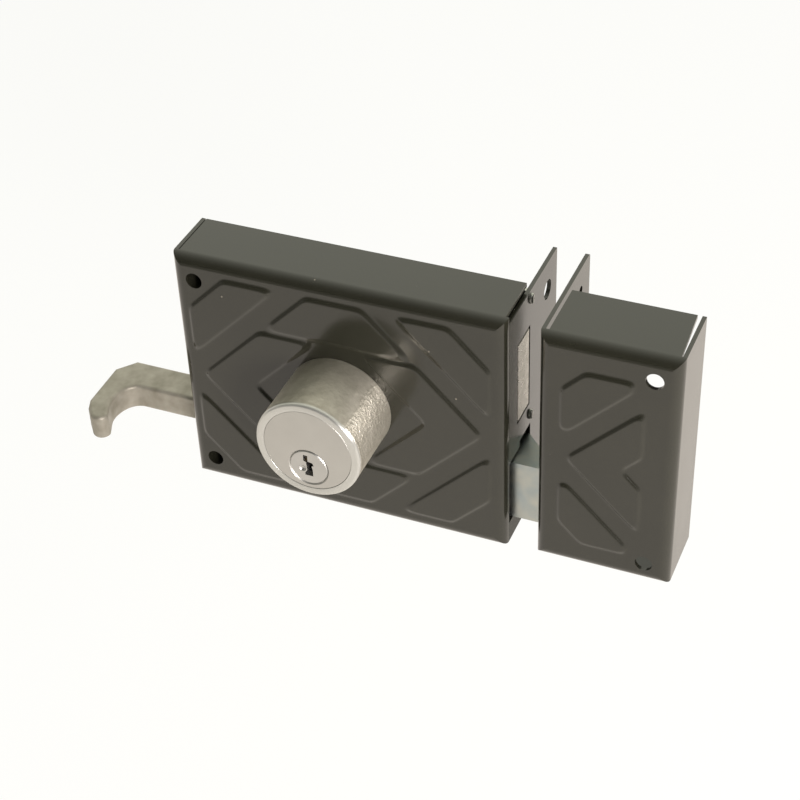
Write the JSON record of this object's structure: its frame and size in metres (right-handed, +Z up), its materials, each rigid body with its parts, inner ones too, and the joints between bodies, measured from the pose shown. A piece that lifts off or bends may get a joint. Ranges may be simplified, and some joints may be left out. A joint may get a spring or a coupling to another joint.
{
  "type": "gate lock",
  "caption": "Rim lock for a gate: pressed steel case with a key cylinder, deadbolt, spring latch with a pull lever, and a box keeper beside it.",
  "frame": {"origin": "where the axis of the key cylinder's shroud meets the plane of the gate, on the back plate's rear face", "axes": "+X from the pull lever towards the keeper, +Y back into the gate, +Z up"},
  "size_m": [0.1822, 0.0652, 0.08],
  "materials": {
    "case_paint": "smooth satin brown-grey paint",
    "zinc_plate": "zinc plated sheet",
    "shroud_nickel": "satin plated casting, slightly pebbled",
    "core_nickel": "satin plated, turned",
    "plug_nickel": "satin plated, turned",
    "pin_brass": "turned brass",
    "spring_steel": "spring steel",
    "deadbolt_metal": "cast, warm grey",
    "latch_zinc": "zinc plated",
    "lever_metal": "cast zinc alloy, satin",
    "inner_steel": "bright steel"
  },
  "bodies": {
    "lock_case": {"front_case": "case_paint", "back_plate": "zinc_plate", "fixing_sleeves": "case_paint", "guide_plate": "zinc_plate", "guide_post": "inner_steel", "post_clip": "spring_steel", "detent_spring": "spring_steel", "detent_block": "zinc_plate", "spring_bracket": "zinc_plate", "latch_spring": "spring_steel", "cylinder_shroud": "shroud_nickel", "cylinder_core": "core_nickel", "clamp_plate": "zinc_plate", "clamp_screws": "inner_steel", "driver_pins": "pin_brass", "pin_springs": "spring_steel", "chamber_plugs": "pin_brass"},
    "key_plug_body": {"key_plug": "plug_nickel", "key_pins": "pin_brass", "cam": "inner_steel", "cam_screw": "inner_steel"},
    "deadbolt_body": {"deadbolt": "deadbolt_metal", "deadbolt_tail": "inner_steel", "deadbolt_rivets": "deadbolt_metal"},
    "latch_body": {"latch_bolt": "latch_zinc", "latch_rod": "inner_steel", "pull_lever": "lever_metal", "lever_pin": "inner_steel"},
    "keeper_body": {"keeper_box": "case_paint"}
  },
  "joints": [
    {"name": "deadbolt_throw", "type": "slide", "parent": "lock_case", "child": "deadbolt_body", "axis": [1, 0, 0], "range_m": [0, 0.02]},
    {"name": "plug_turn", "type": "hinge", "parent": "lock_case", "child": "key_plug_body", "pos_m": [0, -0.03, -0.0061], "axis": [0, 1, 0], "range_deg": [0, 100]},
    {"name": "latch_slide", "type": "slide", "parent": "lock_case", "child": "latch_body", "axis": [1, 0, 0], "range_m": [-0.0125, 0], "stiffness_N_per_m": 400, "springref_m": 0.008, "deforming": ["latch_spring"]},
    {"name": "keeper_slide", "type": "slide", "parent": "lock_case", "child": "keeper_body", "axis": [1, 0, 0], "range_m": [0, 0.04]}
  ],
  "couplings": [
    {"joint": "plug_turn", "follows": "deadbolt_throw", "rad_per_m": 87.26}
  ]
}
